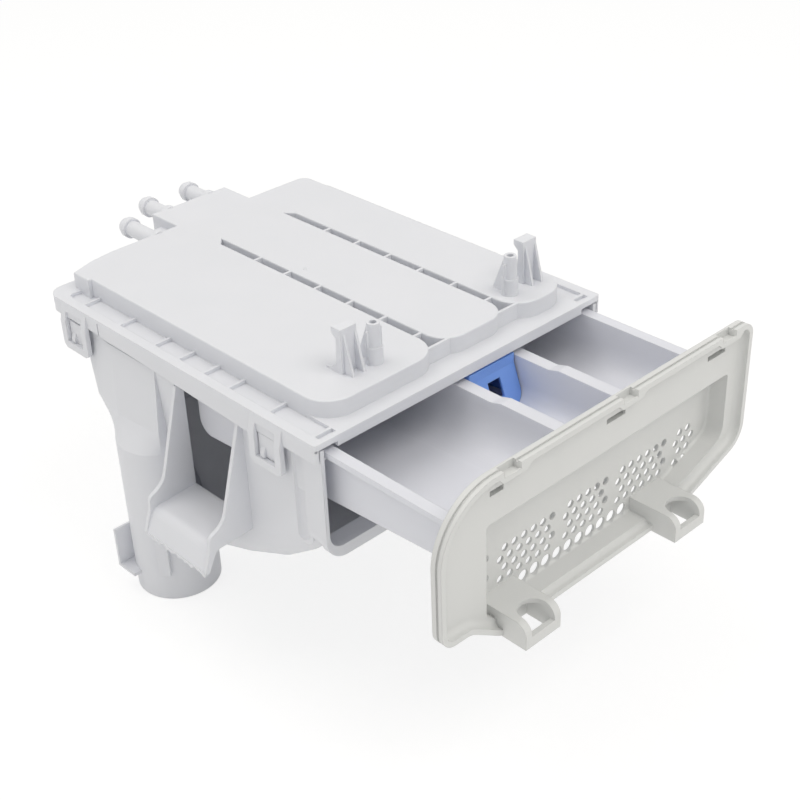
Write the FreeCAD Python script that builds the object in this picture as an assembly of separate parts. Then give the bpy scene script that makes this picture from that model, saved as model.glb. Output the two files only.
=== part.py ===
import FreeCAD, Part
import math
import os
from FreeCAD import Vector as V

# Washing machine detergent dispenser: hopper housing, water distributor cover and sliding drawer.
# Modelling datum in mm: X from the cover's left edge, Y from its front edge towards the back,
# Z from its flange top. export() moves the pieces so that the origin is midway between the screw bosses.

# Cover: flange, skirt and latch loops
COVER_W = 190.0
COVER_D = 213.0
FLANGE_T = 4.0
COVER_FRONT_R = 1.5
COVER_REAR_R = 9.0
SKIRT_T = 2.2
SKIRT_FRONT_Z = -9.6
SKIRT_DEEP_Z = -13.3
SKIRT_REAR_Z = -8.7
SKIRT_STEP_Y = 45.0
SKIRT_SLIT_Y = 166.0
SKIRT_SLIT_W = 0.9
LIP_Z = -5.6
LIP_END_Z = -3.0
LIP_X0 = 13.2
LIP_X1 = COVER_W - 14.0
END_HOLE_R = 0.7
END_HOLE_Z = -3.4
END_HOLE_DEPTH = 3.0
LOOP_YS = (33.5, 188.0)
LOOP_W = 22.5
LOOP_T = 2.0
LOOP_BAR = 4.3
LOOP_TOP_Z = -1.2
LOOP_FLARE_Z = -11.0
LOOP_WINDOW_Z = -5.0
LOOP_BOTTOM_Z = -26.2
LOOP_R = 3.5

# Cover: pockets along the side flanges
POCKET_X0 = 5.5
POCKET_DEPTH = 1.8
POCKET_Y0 = 3.2
POCKET_Y1 = 200.5
POCKET_END_R = 3.2
POCKET_RIB_YS = (6.8, 37.1, 66.6, 85.8, 105.2, 124.8, 154.3, 186.0)
POCKET_RIB_T = 1.6

# Cover: three raised channels as left x, right x, front y and corner radius, and the manifold behind
CHANNEL_H = 8.8
CHANNEL_WALL = 2.0
CHANNELS = ((15.2, COVER_W - 103.7, 8.7, 15.0), (COVER_W - 99.3, COVER_W - 55.1, 11.0, 13.0),
            (COVER_W - 50.9, COVER_W - 13.5, 8.7, 15.0))
MANIFOLD_Y0 = 165.0
MANIFOLD_Y1 = 212.0
MANIFOLD_R = 6.0
MANIFOLD_SIDE_Y = 192.0
MANIFOLD_CORNER = ((13.2, 205.3), (26.5, 209.9), (40.6, 212.0))
SLOT_ENDS = ((175.3, 180.4), (181.5, 175.9))
WEB_YS = tuple(146.8 - 23.88 * i for i in range(6))
WEB_T = 1.5
WEB_DROP = 0.3
FRONT_WALL_Y = 14.1
FRONT_WALL_REACH = 6.5
NOSE_X0 = 84.0
NOSE_X1 = 135.0
NOSE_Y1 = 235.0
NOSE_Z0 = -2.0
NOSE_STEP_X0 = 78.5
NOSE_STEP_Y1 = 227.0
NOSE_STEP_Z = 3.4
EDGE_R = 0.7

# Cover: inlet spigots, each as x, z, root y and end y
SPIGOTS = ((71.5, 3.4, 212.0, 244.0), (95.6, 3.2, 235.0, 260.0), (124.2, 3.2, 235.0, 260.0))
SPIGOT_R = 4.5
SPIGOT_BORE_R = 3.0
SPIGOT_COLLAR_R = 6.0
SPIGOT_COLLAR_L = 3.0
BARB_R = 5.8
BARB_TIP_R = 4.4
BARB_L = 6.5
BARB_NOSE_L = 3.2

# Cover: screw bosses and hooks
BOSS_XS = (57.2, COVER_W - 41.8)
BOSS_Y = 23.0
BOSS_H = 20.7
BOSS_BASE_R = 4.2
BOSS_STEP_H = 8.8
BOSS_R = 3.5
BOSS_TOP_R = 3.15
BOSS_HOLE_R = 1.7
BOSS_HOLE_DEPTH = 15.0
BOSS_FIN_REACH = 4.6
BOSS_FIN_T = 1.2
BOSS_FIN_H = 17.0
BOSS_GUSSET_Y = 11.0
HOOK_XS = (43.9, COVER_W - 25.7)
HOOK_W = 9.6
HOOK_Y0 = 24.8
HOOK_T = 3.4
HOOK_H = 22.6
HOOK_NOSE_Y = 31.0
HOOK_NOSE_T = 2.6
HOOK_RIB_T = 1.4
HOOK_RIB_TOE_Y = 19.6
HOOK_RIB_TOP = 20.0
HOOK_RIB_XS = (-2.6, 4.1)
HOOK_FOOT_Y = 36.0
HOOK_FOOT_H = 13.0
HOOK_FOOT_R = 6.0
HOOK_FOOT_EDGE = 0.8

# Spray plate, seated in a recess under the channels
SPRAY_X0 = 14.5
SPRAY_X1 = COVER_W - 12.8
SPRAY_Y0 = 7.0
SPRAY_Y1 = 196.5
SPRAY_T = 2.5
SPRAY_R = 12.0
SPRAY_TOP_Z = -2.5
SPRAY_CLEAR = 0.3
JET_R = 1.3
JET_PITCH_Y = 20.0
JET_XS = (28.0, 44.0, 60.0, 76.0, COVER_W - 86.0, COVER_W - 69.0, COVER_W - 40.0, COVER_W - 24.0)
JET_Y0 = 30.0
JET_COUNT = 7
STIFFENER_T = 1.6
STIFFENER_H = 3.6

# Housing walls
WALL = 2.2
SKIRT_GAP = 0.7
HOUSING_X0 = SKIRT_T + SKIRT_GAP
HOUSING_X1 = COVER_W - HOUSING_X0
HOUSING_Y1 = 200.0
HOUSING_TOP_Z = -FLANGE_T
# Stations of the solid front frame and of the hollow hull behind it, from front to back: y, lowest z on
# the left, lowest z on the right, corner radius
FRAME = ((0.0, -65.2, -65.2, 12.0), (4.0, -65.2, -65.2, 12.0))
HULL = ((5.0, -61.6, -61.6, 10.0), (11.0, -61.6, -61.6, 10.0), (24.0, -76.8, -70.0, 16.0),
        (44.0, -93.2, -78.0, 20.0), (74.0, -110.5, -84.0, 24.0), (104.0, -122.0, -88.0, 24.0),
        (130.0, -119.0, -92.0, 22.0), (157.0, -62.0, -62.0, 16.0), (HOUSING_Y1, -23.0, -23.0, 6.0))
MOUTH_Y = 3.0
MOUTH_SIDE = 2.2
MOUTH_BOTTOM_Z = -59.0
MOUTH_R = 8.0
VALLEY_Y = 16.4
VALLEY_R = 4.0
VALLEY_DEPTH = 2.4
VALLEY_Z0 = -57.0
VALLEY_Z1 = -10.5
RAIL_T = 2.0
RAIL_W = 4.2
RAIL_Y0 = 3.0
RAIL_GAP = 0.4
STOP_Y0 = 9.0
STOP_Y1 = 22.5
STOP_Z0 = -32.0
STOP_Z1 = -11.0
BARB_CATCH_W = 3.0
BARB_CATCH_DY = 3.0
BARB_CATCH_X = -1.1
BARB_CATCH_Z1 = -10.5
BARB_CATCH_FLAT = 2.4
PAD_X = 0.3
PAD_CLEAR = 0.5

# Housing: overflow window and chute on the left side
CHUTE_Y0 = 55.5
CHUTE_Y1 = 105.5
CHUTE_T = 2.2
WINDOW_Z1 = -14.0
WINDOW_Z0 = -71.0
CHUTE_RIB = ((0.9, -13.0), (-13.2, -62.3, 12.0), (-22.2, -66.2, 4.0), (-23.0, -73.0, 8.0), (-27.0, -84.8))
CHUTE_BEND = (-21.2, -72.2)
CHUTE_BEND_R = 6.0
CHUTE_EDGE = (-26.8, -85.2)

# Housing: drain duct and outlet pipe
PIPE_X = 9.5
PIPE_Y = 138.0
PIPE_R = 22.5
PIPE_WALL = 2.2
PIPE_Z0 = -149.5
SOCKET_L = 30.0
PIPE_DRAFT = 0.6
DUCT_TOP_Z = -13.0
DUCT_SHOULDER_Z = -46.0
DUCT_Z = -58.0
# Plan corners of the duct from the rear left round the front, at its top and at its shoulder
DUCT_TOP = ((3.6, 188.0), (2.6, 161.0), (2.6, 123.5), (60.0, 123.5), (60.0, 188.0))
DUCT_SHOULDER = ((0.0, 176.3), (-4.8, 151.4), (-2.4, 119.6), (40.0, 119.6), (40.0, 176.3))
DUCT_INWARD = ((1, -1), (1, 0), (1, 1), (-1, 1), (-1, -1))
# Where the duct's corners run out on the pipe, in degrees from +X
DUCT_ANGLES = (125.0, 147.0, 237.0, 330.0, 420.0)
KEY_ANGLE = 220.0
KEY_W = 6.4
KEY_REACH = 25.0
KEY_Z0 = -132.5
KEY_Z1 = -104.0
LEDGE_X0 = -17.5
LEDGE_X1 = -5.0
LEDGE_Y0 = 139.5
LEDGE_Y1 = 154.0
LEDGE_Z0 = -137.8
LEDGE_Z1 = -114.0
LEDGE_T = 1.6

# Front plate
PLATE_FRONT_Y = -84.15
PLATE_LIP = 2.0
PLATE_PANEL_Y = -79.85
PLATE_T = 1.5
PLATE_CHANNEL = 0.9
PLATE_BEAD = 1.0
PLATE_RIM = 2.7
PLATE_FOOT_R = 2.8
PLATE_OUTLINE = ((-8.7, 13.0, 32.0), (-8.7, -58.4, 8.0), (8.5, -58.8, 10.0), (27.0, -71.2, 8.0),
                 (COVER_W - 42.0, -71.2, 20.0), (COVER_W + 8.9, -52.5, 14.0), (COVER_W + 8.9, 13.0, 7.0))
FINGER_OUTLINE = ((22.0, -13.0, 2.0), (22.0, -60.0, 3.0), (30.0, -66.5, 4.0), (COVER_W - 50.0, -66.5, 12.0),
                  (COVER_W - 2.0, -48.5, 9.0), (COVER_W - 2.0, -13.0, 2.0))
FINGER_DEPTH = 10.0
FINGER_WALL = 1.6
FINGER_BACK_T = 1.2
FINGER_FOOT_R = 1.6
PLATE_BACK_Y = PLATE_PANEL_Y + FINGER_DEPTH + FINGER_BACK_T
SMALL_HOLE_R = 2.0
SMALL_HOLE_X0 = 31.8
SMALL_HOLE_PITCH = 6.15
SMALL_HOLE_ZS = (-40.7, -46.0, -51.3, -56.6)
SMALL_HOLE_COUNT = 24
BIG_HOLE_R = 3.1
BIG_HOLE_X0 = 55.9
BIG_HOLE_PITCH = 7.6
BIG_HOLE_Z = -63.3
BIG_HOLE_COUNT = 10
GUSSET_XS = (37.0, 79.5, 115.0, 159.0)
GUSSET_T = 1.6
GUSSET_REACH = 16.0
GUSSET_FOOT_Z = -60.0
HOLE_MARGIN = 0.4
CLIP_WINDOWS = ((24.0, 32.0), (97.4, 110.0), (COVER_W - 20.0, COVER_W - 6.4))
CLIP_WINDOW_H = 2.6
CLIP_WINDOW_Z = 0.9
CLIP_DEPTH = 3.0
CLIP_T = 1.2
CLIP_SLOTS = ((28.0, 38.0), (103.1, 112.9), (COVER_W - 15.0, COVER_W - 5.0))
CLIP_SLOT_Y0 = -83.2
CLIP_SLOT_Y1 = -79.5
CLIP_BROW = 3.0
TOOTH_SIDE = 3.0
TOOTH_TAIL = 6.5
TOOTH_DROP = 2.8
LUG_XS = (27.6, 130.2)
LUG_W = 22.0
LUG_TIP_Y = -97.2
LUG_Z0 = -72.0
LUG_Z1 = -59.4
LUG_BROW_R = 6.2
LUG_SIDE = 3.8
LUG_FRONT_T = 2.5
LUG_BAR_Z = -66.4
LUG_ARCH_Y = -84.2
LUG_BACK_Y = -81.0
LUG_ARCH_FLAT = 0.1
LUG_SKIN = 2.4

# Tray
TRAY_TOP_Z = -6.3
TRAY_RIM_X0 = 6.6
TRAY_RIM_W = 6.0
TRAY_RIM_T = 2.0
TRAY_LIP_H = 3.0
TRAY_LIP_T = 1.8
TRAY_T = 1.8
TRAY_REAR_Y = 101.0
TRAY_REAR_R = 8.0
TRAY_FLOOR_Z = -30.3
TRAY_FLOOR_SLOPE = -0.069
TRAY_FLOOR_T = 2.0
TRAY_INNER_R = 6.0
# Rounds at the foot of each compartment's left and right side
COMPARTMENT_RS = ((6.0, 18.0), (9.0, 9.0), (14.0, 14.0))
DIVIDERS = ((COVER_W - 102.0, COVER_W - 95.0), (COVER_W - 62.3, COVER_W - 55.5))
DIVIDER_STEP_Y0 = -26.7
DIVIDER_STEP_Y1 = -20.6
DIVIDER_HIGH_Z = -7.0
DIVIDER_LOW_Z = -8.75
DIVIDER_STEP_R = 4.0
DIVIDER_SKIN = 1.7
SHELF_X0 = 26.0
SHELF_X1 = COVER_W - 14.0
SHELF_T = 2.0
TRAY_STOP_L = 8.0
TRAY_STOP_REACH = 3.4
TRAY_STOP_Z0 = -20.0
TRAY_STOP_Z1 = -14.0

# Siphon
SIPHON_Y = 17.0
STANDPIPE_R = 4.0
STANDPIPE_BORE_R = 2.5
STANDPIPE_TOP_Z = -14.0
CAP_CLEAR = 0.9
CAP_T = 1.5
CAP_TOP_Z = -7.2
CAP_BROW_Z = -12.3
CAP_FRONT_Y = 0.6
CAP_TOE_Y = -6.6
CAP_REAR_Y = 34.0
CAP_SLEEVE_R = 7.2
CAP_SLEEVE_T = 1.4
CAP_SLEEVE_GAP = 4.0
CAP_WINDOW_W = 8.6
CAP_WINDOW_Z0 = -25.0
CAP_WINDOW_Z1 = -15.5

# Through cuts run this far past the solid
OVER = 1.0
# Points and levels nearer than this are taken as one
SAME_POINT = 1e-6
SAME_LEVEL = 1e-4

PLANES = {
    "xy": lambda u, v, w: V(u, v, w),
    "xz": lambda u, v, w: V(u, w, v),
    "yz": lambda u, v, w: V(w, u, v),
}
NORMALS = {"xy": V(0, 0, 1), "xz": V(0, 1, 0), "yz": V(1, 0, 0)}


def corner(before, at, after, radius):
    """Start, middle and end of the round at one outline corner."""
    to_before = (V(before[0], before[1], 0) - V(at[0], at[1], 0)).normalize()
    to_after = (V(after[0], after[1], 0) - V(at[0], at[1], 0)).normalize()
    half = to_before.getAngle(to_after) / 2.0
    run = radius / math.tan(half)
    bisector = (to_before + to_after).normalize()
    here = V(at[0], at[1], 0)
    middle = here + bisector * (radius / math.sin(half) - radius)
    return here + to_before * run, middle, here + to_after * run


def outline(points, plane, level):
    """Closed wire through (u, v) or (u, v, corner radius) points in a plane."""
    place = PLANES[plane]
    count = len(points)
    rounds = []
    for i, point in enumerate(points):
        radius = point[2] if len(point) > 2 else 0.0
        if radius > 0.0:
            rounds.append(corner(points[i - 1], point, points[(i + 1) % count], radius))
        else:
            rounds.append((V(point[0], point[1], 0),))
    edges = []
    for i, here in enumerate(rounds):
        if len(here) == 3:
            edges.append(Part.Arc(*[place(p.x, p.y, level) for p in here]).toShape())
        start = here[-1]
        end = rounds[(i + 1) % count][0]
        if start.distanceToPoint(end) > SAME_POINT:
            edges.append(Part.makeLine(place(start.x, start.y, level), place(end.x, end.y, level)))
    return Part.Wire(edges)


def prism(points, plane, low, high):
    """Outline pulled along the plane's normal from low to high."""
    return Part.Face(outline(points, plane, low)).extrude(NORMALS[plane] * (high - low))


def inset_prism(points, plane, inset, low, high):
    """The same, with the outline moved inwards, or outwards when inset is negative."""
    wire = outline(points, plane, low).makeOffset2D(-inset)
    return Part.Face(wire).extrude(NORMALS[plane] * (high - low))


def box(x0, x1, y0, y1, z0, z1):
    return Part.makeBox(x1 - x0, y1 - y0, z1 - z0, V(x0, y0, z0))


def rectangle(x0, x1, y0, y1, radius):
    return ((x0, y0, radius), (x1, y0, radius), (x1, y1, radius), (x0, y1, radius))


def turned(profile, origin, axis):
    """Solid of revolution from (height along axis, radius) points, closed on the axis."""
    side = V(1, 0, 0)
    points = [(profile[0][0], 0.0)] + list(profile) + [(profile[-1][0], 0.0)]
    corners = [origin + axis * h + side * r for h, r in points]
    face = Part.Face(Part.makePolygon(corners + corners[:1]))
    return face.revolve(origin, axis, 360)


def mirrored(shape):
    """The shape on the other side of the cover's middle plane."""
    return shape.mirror(V(COVER_W / 2.0, 0, 0), V(1, 0, 0))


def both_sides(shape):
    return [shape, mirrored(shape)]


def export(name, shape):
    solid = shape.removeSplitter()
    solid.translate(V(-sum(BOSS_XS) / 2.0, -BOSS_Y, -(CHANNEL_H + BOSS_H)))
    solid.exportStep("parts/%s.step" % name)


def cover_skirt():
    """Wall round the flange with the stepped lower edge of the sides and the front lip."""
    rim = ((0, 0, COVER_FRONT_R), (COVER_W, 0, COVER_FRONT_R), (COVER_W, COVER_D, COVER_REAR_R),
           (0, COVER_D, COVER_REAR_R))
    skirt = prism(rim, "xy", SKIRT_DEEP_Z, 0)
    skirt = skirt.cut(inset_prism(rim, "xy", SKIRT_T, SKIRT_DEEP_Z - OVER, -FLANGE_T))
    low = SKIRT_DEEP_Z - OVER
    below = ((-OVER, low), (-OVER, SKIRT_FRONT_Z), (SKIRT_STEP_Y, SKIRT_FRONT_Z),
             (SKIRT_STEP_Y, SKIRT_DEEP_Z), (SKIRT_SLIT_Y, SKIRT_REAR_Z),
             (COVER_D + OVER, SKIRT_REAR_Z), (COVER_D + OVER, low))
    skirt = skirt.cut(prism(below, "yz", -OVER, COVER_W + OVER))
    front = ((SKIRT_T, low), (SKIRT_T, LIP_END_Z), (LIP_X0, LIP_END_Z), (LIP_X0, LIP_Z), (LIP_X1, LIP_Z),
             (LIP_X1, LIP_END_Z), (COVER_W - SKIRT_T, LIP_END_Z), (COVER_W - SKIRT_T, low))
    skirt = skirt.cut(prism(front, "xz", -OVER, SKIRT_T))
    slit = box(-OVER, SKIRT_T / 2.0, SKIRT_SLIT_Y, SKIRT_SLIT_Y + SKIRT_SLIT_W, low, -POCKET_DEPTH)
    hole = Part.makeCylinder(END_HOLE_R, END_HOLE_DEPTH + OVER, V(SKIRT_T / 2.0, -OVER, END_HOLE_Z),
                             V(0, 1, 0))
    return skirt.cut([slit] + both_sides(hole))


def latch_loop(y):
    """Loop that flares out from the skirt and hangs below it, for the housing's barb."""
    y0 = y - LOOP_W / 2.0
    y1 = y + LOOP_W / 2.0
    front = ((y0, LOOP_TOP_Z), (y0, LOOP_BOTTOM_Z, LOOP_R), (y1, LOOP_BOTTOM_Z, LOOP_R), (y1, LOOP_TOP_Z))
    back = SKIRT_T / 4.0
    flare = ((back, LOOP_TOP_Z), (0, LOOP_TOP_Z), (-LOOP_T, LOOP_FLARE_Z), (-LOOP_T, LOOP_BOTTOM_Z),
             (back, LOOP_BOTTOM_Z))
    strap = prism(front, "yz", -LOOP_T, back).common(prism(flare, "xz", y0, y1))
    window = box(-LOOP_T - OVER, back + OVER, y0 + LOOP_BAR, y1 - LOOP_BAR,
                 LOOP_BOTTOM_Z + LOOP_BAR, LOOP_WINDOW_Z)
    return strap.cut(window)


def flange_pockets(x0, x1):
    """Row of shallow pockets along one side flange, parted by ribs."""
    trough = prism(((x0, POCKET_Y0), (x1, POCKET_Y0), (x1, POCKET_Y1, POCKET_END_R),
                    (x0, POCKET_Y1, POCKET_END_R)), "xy", -POCKET_DEPTH, OVER)
    half = POCKET_RIB_T / 2.0
    ribs = [box(x0 - OVER, x1 + OVER, y - half, y + half, -POCKET_DEPTH - OVER, OVER * 2)
            for y in POCKET_RIB_YS]
    return trough.cut(ribs)


def manifold_outline():
    """Plan of the block behind the channels, with its slanted left rear corner."""
    x0 = CHANNELS[0][0]
    x1 = CHANNELS[2][1]
    side = MANIFOLD_CORNER[0][0]
    return ((x0, MANIFOLD_Y0), (x1, MANIFOLD_Y0), (x1, MANIFOLD_Y1, MANIFOLD_R)) + MANIFOLD_CORNER[::-1] + (
        (side, MANIFOLD_SIDE_Y), (x0, MANIFOLD_SIDE_Y))


def slot_outline(index):
    """Plan of the open slot between two channels, with its slanted rear end."""
    near = CHANNELS[index][1]
    far = CHANNELS[index + 1][0]
    ends = SLOT_ENDS[index]
    return ((near, MANIFOLD_Y0 - OVER), (far, MANIFOLD_Y0 - OVER), (far, ends[1]), (near, ends[0]))


def channel_block():
    """Raised channels, the manifold joining them and the nose that carries two of the spigots."""
    block = prism(manifold_outline(), "xy", -FLANGE_T, CHANNEL_H)
    for x0, x1, front, radius in CHANNELS:
        plan = ((x0, front, radius), (x1, front, radius), (x1, MANIFOLD_Y0 + OVER), (x0, MANIFOLD_Y0 + OVER))
        block = block.fuse(prism(plan, "xy", -FLANGE_T, CHANNEL_H))
    nose = box(NOSE_X0, NOSE_X1, MANIFOLD_Y1 - OVER, NOSE_Y1, NOSE_Z0, CHANNEL_H)
    step = box(NOSE_STEP_X0, NOSE_X1, MANIFOLD_Y1 - OVER, NOSE_STEP_Y1, NOSE_Z0, NOSE_STEP_Z)
    block = block.fuse([nose, step]).removeSplitter()
    slots = [prism(slot_outline(i), "xy", 0, CHANNEL_H + OVER) for i in range(2)]
    return soften(block.cut(slots), CHANNEL_H)


def soften(block, level):
    """Small round along the upright block's top edges at one level."""
    edges = [e for e in block.Edges
             if max(abs(e.BoundBox.ZMin - level), abs(e.BoundBox.ZMax - level)) < SAME_LEVEL]
    return block.makeFillet(EDGE_R, edges)


def slot_webs():
    """Cross webs in the slots and the thin walls that close the slots' front ends."""
    webs = []
    for i in range(2):
        x0 = CHANNELS[i][1] - CHANNEL_WALL / 2.0
        x1 = CHANNELS[i + 1][0] + CHANNEL_WALL / 2.0
        for y in WEB_YS:
            webs.append(box(x0, x1, y - WEB_T / 2.0, y + WEB_T / 2.0, -FLANGE_T / 2.0, CHANNEL_H - WEB_DROP))
        webs.append(box(x0 - FRONT_WALL_REACH, x1 + FRONT_WALL_REACH, FRONT_WALL_Y - WEB_T / 2.0,
                        FRONT_WALL_Y + WEB_T / 2.0, -FLANGE_T / 2.0, CHANNEL_H - WEB_DROP))
    return webs


def channel_hollows():
    """Water spaces inside the channels, each leading back to its own spigot."""
    top = CHANNEL_H - CHANNEL_WALL
    low = -FLANGE_T - OVER
    w = CHANNEL_WALL
    hollows = []
    for x0, x1, front, radius in CHANNELS:
        plan = ((x0 + w, front + w, radius - w), (x1 - w, front + w, radius - w),
                (x1 - w, SLOT_ENDS[1][1] - w), (x0 + w, SLOT_ENDS[1][1] - w))
        hollows.append(prism(plan, "xy", low, top))
    start = SLOT_ENDS[1][1] - w - OVER
    for (x0, x1, _, _), (x, _, root, _) in zip(CHANNELS, SPIGOTS):
        back = root - w
        reach = SPIGOT_COLLAR_R
        arm = ((x0 + w, start), (x1 - w, start), (x + reach, back), (x - reach, back))
        hollows.append(prism(arm, "xy", SPRAY_TOP_Z, top))
    return hollows


def spigot(x, z, root, end):
    """Barbed hose spigot pointing back, with its collar."""
    length = end - root
    profile = ((-OVER, SPIGOT_COLLAR_R), (SPIGOT_COLLAR_L, SPIGOT_COLLAR_R), (SPIGOT_COLLAR_L, SPIGOT_R),
               (length - BARB_L, SPIGOT_R), (length - BARB_L, BARB_R), (length - BARB_NOSE_L, BARB_R),
               (length, BARB_TIP_R))
    return turned(profile, V(x, root, z), V(0, 1, 0))


def spigot_bore(x, z, root, end):
    return Part.makeCylinder(SPIGOT_BORE_R, end - root + CHANNEL_WALL + 2 * OVER,
                             V(x, root - CHANNEL_WALL - OVER, z), V(0, 1, 0))


def screw_boss(x):
    """Stepped boss with two side fins and a gusset behind."""
    base = V(x, BOSS_Y, CHANNEL_H)
    profile = ((-OVER, BOSS_BASE_R), (BOSS_STEP_H, BOSS_BASE_R), (BOSS_STEP_H, BOSS_R), (BOSS_H, BOSS_TOP_R))
    boss = turned(profile, base, V(0, 0, 1))
    half = BOSS_FIN_T / 2.0
    z0 = CHANNEL_H - OVER
    top = CHANNEL_H + BOSS_FIN_H
    fins = box(x - BOSS_FIN_REACH, x + BOSS_FIN_REACH, BOSS_Y - half, BOSS_Y + half, z0, top)
    gusset = prism(((BOSS_Y, z0), (BOSS_Y + BOSS_GUSSET_Y, z0), (BOSS_Y + BOSS_GUSSET_Y, CHANNEL_H),
                    (BOSS_Y + BOSS_BASE_R, CHANNEL_H + BOSS_FIN_H), (BOSS_Y, CHANNEL_H + BOSS_FIN_H)),
                   "yz", x - half, x + half)
    hole = Part.makeCylinder(BOSS_HOLE_R, BOSS_HOLE_DEPTH + OVER,
                             V(x, BOSS_Y, CHANNEL_H + BOSS_H - BOSS_HOLE_DEPTH))
    return boss.fuse([fins, gusset]).cut(hole)


def hook(x):
    """Upright hook with its nose to the back, two front ribs and a curved foot behind."""
    z0 = CHANNEL_H - OVER
    top = CHANNEL_H + HOOK_H
    rear = HOOK_Y0 + HOOK_T
    profile = ((HOOK_Y0, z0), (rear, z0), (rear, top - 2 * HOOK_NOSE_T), (HOOK_NOSE_Y, top - HOOK_NOSE_T),
               (HOOK_NOSE_Y, top), (HOOK_Y0, top))
    body = prism(profile, "yz", x - HOOK_W / 2.0, x + HOOK_W / 2.0)
    rib = ((HOOK_RIB_TOE_Y, z0), (HOOK_Y0 + OVER, z0), (HOOK_Y0 + OVER, CHANNEL_H + HOOK_RIB_TOP),
           (HOOK_Y0, CHANNEL_H + HOOK_RIB_TOP), (HOOK_RIB_TOE_Y, CHANNEL_H))
    half = HOOK_RIB_T / 2.0
    ribs = [prism(rib, "yz", x + dx - half, x + dx + half) for dx in HOOK_RIB_XS]
    left = x - HOOK_W / 2.0
    toe = CHANNEL_H + HOOK_FOOT_EDGE
    foot = prism(((rear - OVER, z0), (HOOK_FOOT_Y, z0), (HOOK_FOOT_Y, toe),
                  (rear + HOOK_FOOT_EDGE, toe, HOOK_FOOT_R), (rear, CHANNEL_H + HOOK_FOOT_H),
                  (rear - OVER, CHANNEL_H + HOOK_FOOT_H)),
                 "yz", left, left + HOOK_RIB_T)
    return body.fuse(ribs + [foot])


def spray_outline(extra):
    return rectangle(SPRAY_X0 - extra, SPRAY_X1 + extra, SPRAY_Y0 - extra, SPRAY_Y1 + extra, SPRAY_R + extra)


def cover():
    pockets = [flange_pockets(POCKET_X0, CHANNELS[0][0]),
               flange_pockets(CHANNELS[-1][1], COVER_W - POCKET_X0)]
    shape = cover_skirt().cut(pockets).fuse(channel_block())
    straps = [s for y in LOOP_YS for s in both_sides(latch_loop(y))]
    shape = shape.fuse(straps + slot_webs() + [spigot(*s) for s in SPIGOTS]
                       + [screw_boss(x) for x in BOSS_XS] + [hook(x) for x in HOOK_XS])
    cuts = channel_hollows() + [spigot_bore(*s) for s in SPIGOTS]
    cuts.append(prism(spray_outline(SPRAY_CLEAR), "xy", -FLANGE_T - OVER, SPRAY_TOP_Z))
    return shape.cut(cuts)


def spray_plate():
    """Plate under the channels with rows of jets and two stiffening ribs beneath the slots."""
    bottom = SPRAY_TOP_Z - SPRAY_T
    plate = prism(spray_outline(0.0), "xy", bottom, SPRAY_TOP_Z)
    ribs = []
    for x0, x1, front, _ in CHANNELS:
        middle = (x0 + x1) / 2.0
        ribs.append(box(middle - STIFFENER_T / 2.0, middle + STIFFENER_T / 2.0, JET_Y0, MANIFOLD_Y0,
                        SPRAY_TOP_Z - OVER, SPRAY_TOP_Z + STIFFENER_H))
    jets = [Part.makeCylinder(JET_R, SPRAY_T + 2 * OVER, V(x, JET_Y0 + i * JET_PITCH_Y, bottom - OVER))
            for x in JET_XS for i in range(JET_COUNT)]
    return plate.fuse(ribs).cut(jets)


def hull_wire(y, left_z, right_z, radius, inset):
    """U section of the hopper at one station."""
    x0 = HOUSING_X0 + inset
    x1 = HOUSING_X1 - inset
    top = HOUSING_TOP_Z + (OVER if inset > 0 else 0)
    r = radius - inset
    return outline(((x0, top), (x0, left_z + inset, r), (x1, right_z + inset, r), (x1, top)), "xz", y)


def hull_outer():
    return Part.makeLoft([hull_wire(*station, 0.0) for station in FRAME + HULL], True, True)


def hull_inner():
    stations = [(MOUTH_Y,) + HULL[0][1:]] + list(HULL[1:-1]) + [(HOUSING_Y1 - WALL,) + HULL[-1][1:]]
    return Part.makeLoft([hull_wire(*station, WALL) for station in stations], True, True)


def mouth():
    """Opening through the front frame, with the taller sill along its foot."""
    x0 = HOUSING_X0 + MOUTH_SIDE
    x1 = HOUSING_X1 - MOUTH_SIDE
    top = HOUSING_TOP_Z + OVER
    return prism(((x0, top), (x0, MOUTH_BOTTOM_Z, MOUTH_R), (x1, MOUTH_BOTTOM_Z, MOUTH_R), (x1, top)), "xz",
                 -OVER, MOUTH_Y + OVER)


def arc_ring(radius, z):
    """Circle round the pipe's axis, divided where the duct's corners meet it."""
    turns = DUCT_ANGLES + (DUCT_ANGLES[0] + 360.0,)
    arcs = []
    for start, end in zip(turns, turns[1:]):
        steps = [math.radians(a) for a in (start, (start + end) / 2.0, end)]
        points = [V(PIPE_X + radius * math.cos(a), PIPE_Y + radius * math.sin(a), z) for a in steps]
        arcs.append(Part.Arc(*points).toShape())
    return Part.Wire(arcs)


def duct_solid(inset):
    """Drain duct narrowing from the hopper's side to the pipe; inside, the pipe tapers above its socket."""
    draft = PIPE_DRAFT if inset > 0 else 0.0
    r = PIPE_R - inset
    plans = []
    for corners, z in ((DUCT_TOP, DUCT_TOP_Z), (DUCT_SHOULDER, DUCT_SHOULDER_Z)):
        moved = [(x + dx * inset, y + dy * inset) for (x, y), (dx, dy) in zip(corners, DUCT_INWARD)]
        plans.append(outline(moved, "xy", z))
    loft = Part.makeLoft(plans + [arc_ring(r - draft, DUCT_Z)], True, True)
    low = PIPE_Z0 - (OVER if inset > 0 else 0)
    socket = PIPE_Z0 + SOCKET_L
    profile = ((low, r), (socket, r), (DUCT_Z, r - draft))
    return loft.fuse(turned(profile, V(PIPE_X, PIPE_Y, 0), V(0, 0, 1)))


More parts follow.
